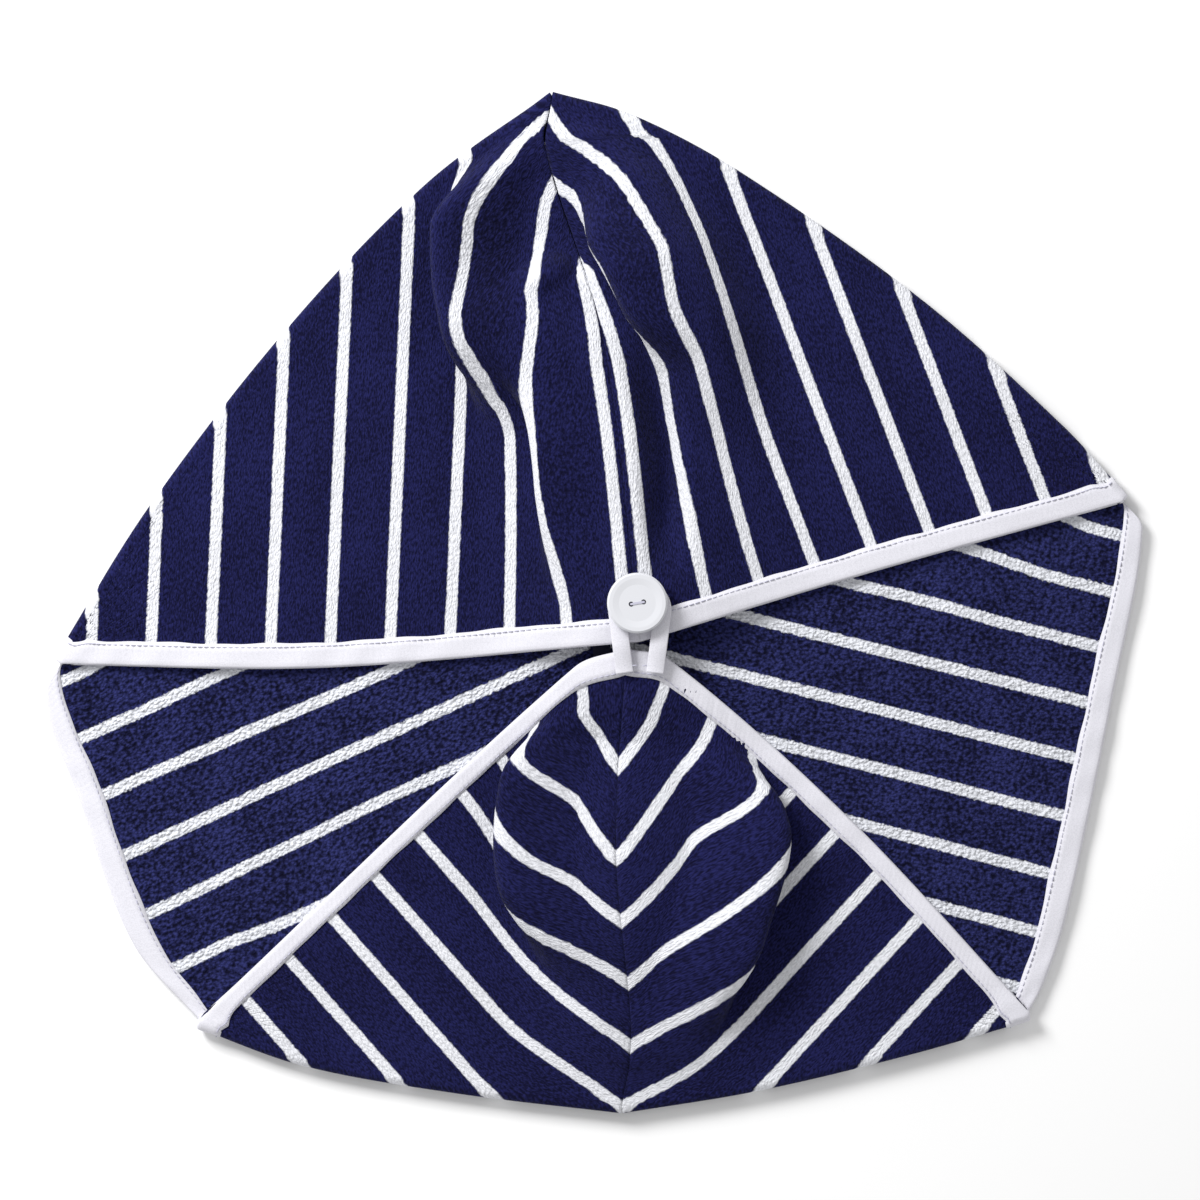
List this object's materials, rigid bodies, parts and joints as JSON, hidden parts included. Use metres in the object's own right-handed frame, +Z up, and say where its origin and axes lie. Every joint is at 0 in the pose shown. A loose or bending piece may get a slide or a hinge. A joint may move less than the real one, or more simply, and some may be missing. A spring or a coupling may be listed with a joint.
{
  "type": "hooded towel wrap",
  "caption": "Striped towelling wrap lying flat: a pointed hood and a folded-up lower flap with bound edges, held shut by a button and a tape loop.",
  "frame": {"origin": "on the surface it lies on, under the middle of its outline", "axes": "+Z up through the layers, +Y from the lower flap to the hood's peak, +X across the wrap, to the right as seen from above with the peak away from the viewer"},
  "size_m": [0.439, 0.408, 0.0251],
  "materials": {
    "towelling": "navy sheared velour outside and looped terry inside, with narrow white stripes woven right through",
    "binding_tape": "plain-woven white cotton tape, folded round the edge",
    "thread": "white sewing thread",
    "button": "white resin, softly glossy"
  },
  "bodies": {
    "back": {"back_left": "towelling", "back_right": "towelling", "back_seam": "towelling", "side_binding_left": "binding_tape", "side_binding_right": "binding_tape", "side_stitching_left": "thread", "side_stitching_right": "thread", "hood_side_left": "towelling", "hood_side_right": "towelling", "hood_side_binding_left": "binding_tape", "hood_side_binding_right": "binding_tape", "hood_side_stitching_left": "thread", "hood_side_stitching_right": "thread", "flap_turn_left": "towelling", "flap_turn_right": "towelling"},
    "hood_front": {"hood_front_left": "towelling", "hood_front_right": "towelling", "hood_seam": "towelling", "hood_binding_left": "binding_tape", "hood_binding_right": "binding_tape", "hood_stitching_left": "thread", "hood_stitching_right": "thread", "button_shank": "thread"},
    "lower_flap": {"flap_left": "towelling", "flap_right": "towelling", "flap_seam": "towelling", "flap_binding_left": "binding_tape", "flap_binding_right": "binding_tape", "flap_stitching_left": "thread", "flap_stitching_right": "thread", "loop_tack": "thread"},
    "button": {"button": "button", "button_thread": "thread"},
    "loop": {"button_loop": "binding_tape"}
  },
  "joints": [
    {"name": "hood_front_lift", "type": "hinge", "parent": "back", "child": "hood_front", "pos_m": [-0.0195, 0.186, 0.0042], "axis": [-1, 0, 0], "range_deg": [0, 25]},
    {"name": "lower_flap_open", "type": "hinge", "parent": "back", "child": "lower_flap", "pos_m": [0.01, -0.1715, 0.0074], "axis": [1, 0, 0], "range_deg": [0, 140]},
    {"name": "button_tilt", "type": "hinge", "parent": "hood_front", "child": "button", "pos_m": [0.0174, -0.0002, 0.0216], "axis": [1, 0, 0], "range_deg": [-5, 5], "stiffness_Nm_per_rad": 0.004},
    {"name": "loop_lift", "type": "hinge", "parent": "lower_flap", "child": "loop", "pos_m": [0.0184, -0.027, 0.0194], "axis": [1, 0, 0], "range_deg": [0, 80], "deforming": ["button_loop"]}
  ]
}
